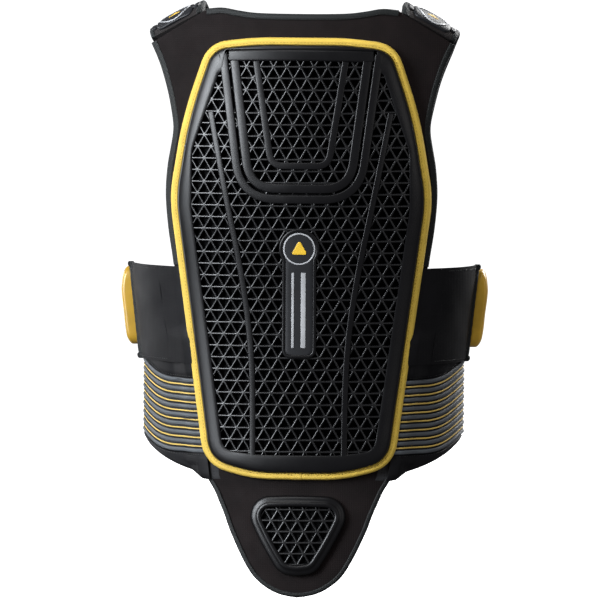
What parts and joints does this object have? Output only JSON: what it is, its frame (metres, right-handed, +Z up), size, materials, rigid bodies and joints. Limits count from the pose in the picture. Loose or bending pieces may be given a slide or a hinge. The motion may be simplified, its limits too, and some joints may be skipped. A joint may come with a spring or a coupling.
{
  "type": "motorcycle back protector",
  "caption": "Soft torso harness with a large moulded back armour panel, hinged tail pad, shoulder straps and a wrap-round waist belt with side pull tabs.",
  "frame": {"origin": "on the wearer's side of the lining, on the spine line, at the height of the waist belt", "axes": "+Z up along the spine, +Y into the wearer (forwards), so the armour's outer face looks towards -Y; -X is the wearer's left"},
  "size_m": [0.3944, 0.3064, 0.6245],
  "materials": {
    "armour_rubber": "satin",
    "foam": "matt foam",
    "yellow_textile": "woven",
    "badge_black": "satin",
    "silver_print": "silver print",
    "yellow_print": "print",
    "carrier_mesh": "stretch mesh",
    "lining_mesh": "spacer mesh",
    "edge_tape": "ribbed tape",
    "belt_black": "smooth stretch cloth",
    "grey_elastic": "grey ribs with thin yellow lines",
    "yellow_rubber": "moulded, satin",
    "hook_plastic": "hook tape",
    "loop_fabric": "loop tape"
  },
  "bodies": {
    "carrier": {"armour_middle_ply": "foam", "armour_outer_plate": "armour_rubber", "armour_upper_insert": "armour_rubber", "badge_bars": "silver_print", "badge_emblem": "yellow_print", "badge_plate": "badge_black", "badge_ring": "silver_print", "carrier_shell": "carrier_mesh", "comfort_ply": "foam", "inner_lining": "lining_mesh", "left_armhole_binding": "edge_tape", "left_belt_root": "belt_black", "left_shoulder_tab": "badge_black", "left_shoulder_yoke": "carrier_mesh", "left_tension_root": "belt_black", "neck_binding": "edge_tape", "panel_binding": "yellow_textile", "right_armhole_binding": "edge_tape", "right_belt_root": "belt_black", "right_shoulder_tab": "badge_black", "right_shoulder_yoke": "carrier_mesh", "right_tension_root": "belt_black"},
    "left_belt_wing": {"left_belt_base": "belt_black", "left_belt_elastic": "grey_elastic", "left_belt_front_panel": "belt_black", "left_belt_hook_patch": "hook_plastic", "left_belt_upper_band": "belt_black"},
    "left_tension_wing": {"left_tension_strap": "belt_black", "left_tension_hem": "belt_black", "left_tension_hook_patch": "hook_plastic", "left_pull_tab": "yellow_rubber"},
    "left_shoulder_wing": {"left_shoulder_strap": "carrier_mesh", "left_strap_hook_patch": "hook_plastic"},
    "right_belt_wing": {"right_belt_base": "belt_black", "right_belt_elastic": "grey_elastic", "right_belt_front_panel": "belt_black", "right_belt_loop_patch": "loop_fabric", "right_belt_upper_band": "belt_black"},
    "right_tension_wing": {"right_tension_strap": "belt_black", "right_tension_hem": "belt_black", "right_tension_hook_patch": "hook_plastic", "right_pull_tab": "yellow_rubber"},
    "right_shoulder_wing": {"right_shoulder_strap": "carrier_mesh", "right_strap_hook_patch": "hook_plastic"},
    "tail_flap": {"tail_carrier": "carrier_mesh", "tail_lining": "lining_mesh", "tail_binding": "edge_tape", "coccyx_frame": "armour_rubber", "coccyx_armour": "armour_rubber", "coccyx_foam": "foam"}
  },
  "joints": [
    {"name": "left_belt_swing", "type": "hinge", "parent": "carrier", "child": "left_belt_wing", "pos_m": [-0.1184, 0.017, 0], "axis": [0.1449, -0.0445, -0.9884], "range_deg": [-75, 18]},
    {"name": "left_tension_strap_swing", "type": "hinge", "parent": "left_belt_wing", "child": "left_tension_wing", "pos_m": [-0.1184, 0.017, 0], "axis": [0.1449, -0.0445, -0.9884], "range_deg": [-60, 0]},
    {"name": "left_shoulder_strap_lift", "type": "hinge", "parent": "carrier", "child": "left_shoulder_wing", "pos_m": [-0.1325, 0.1005, 0.3985], "axis": [0.8771, 0, 0.4802], "range_deg": [0, 65]},
    {"name": "right_belt_swing", "type": "hinge", "parent": "carrier", "child": "right_belt_wing", "pos_m": [0.1184, 0.017, 0], "axis": [0.1449, 0.0445, 0.9884], "range_deg": [-75, 18]},
    {"name": "right_tension_strap_swing", "type": "hinge", "parent": "right_belt_wing", "child": "right_tension_wing", "pos_m": [0.1184, 0.017, 0], "axis": [0.1449, 0.0445, 0.9884], "range_deg": [-60, 0]},
    {"name": "right_shoulder_strap_lift", "type": "hinge", "parent": "carrier", "child": "right_shoulder_wing", "pos_m": [0.1325, 0.1005, 0.3985], "axis": [0.8771, 0, -0.4802], "range_deg": [0, 65]},
    {"name": "tail_flex", "type": "hinge", "parent": "carrier", "child": "tail_flap", "pos_m": [0, -0.0035, -0.0875], "axis": [1, 0, 0], "range_deg": [-10, 20], "stiffness_Nm_per_rad": 0.6}
  ]
}
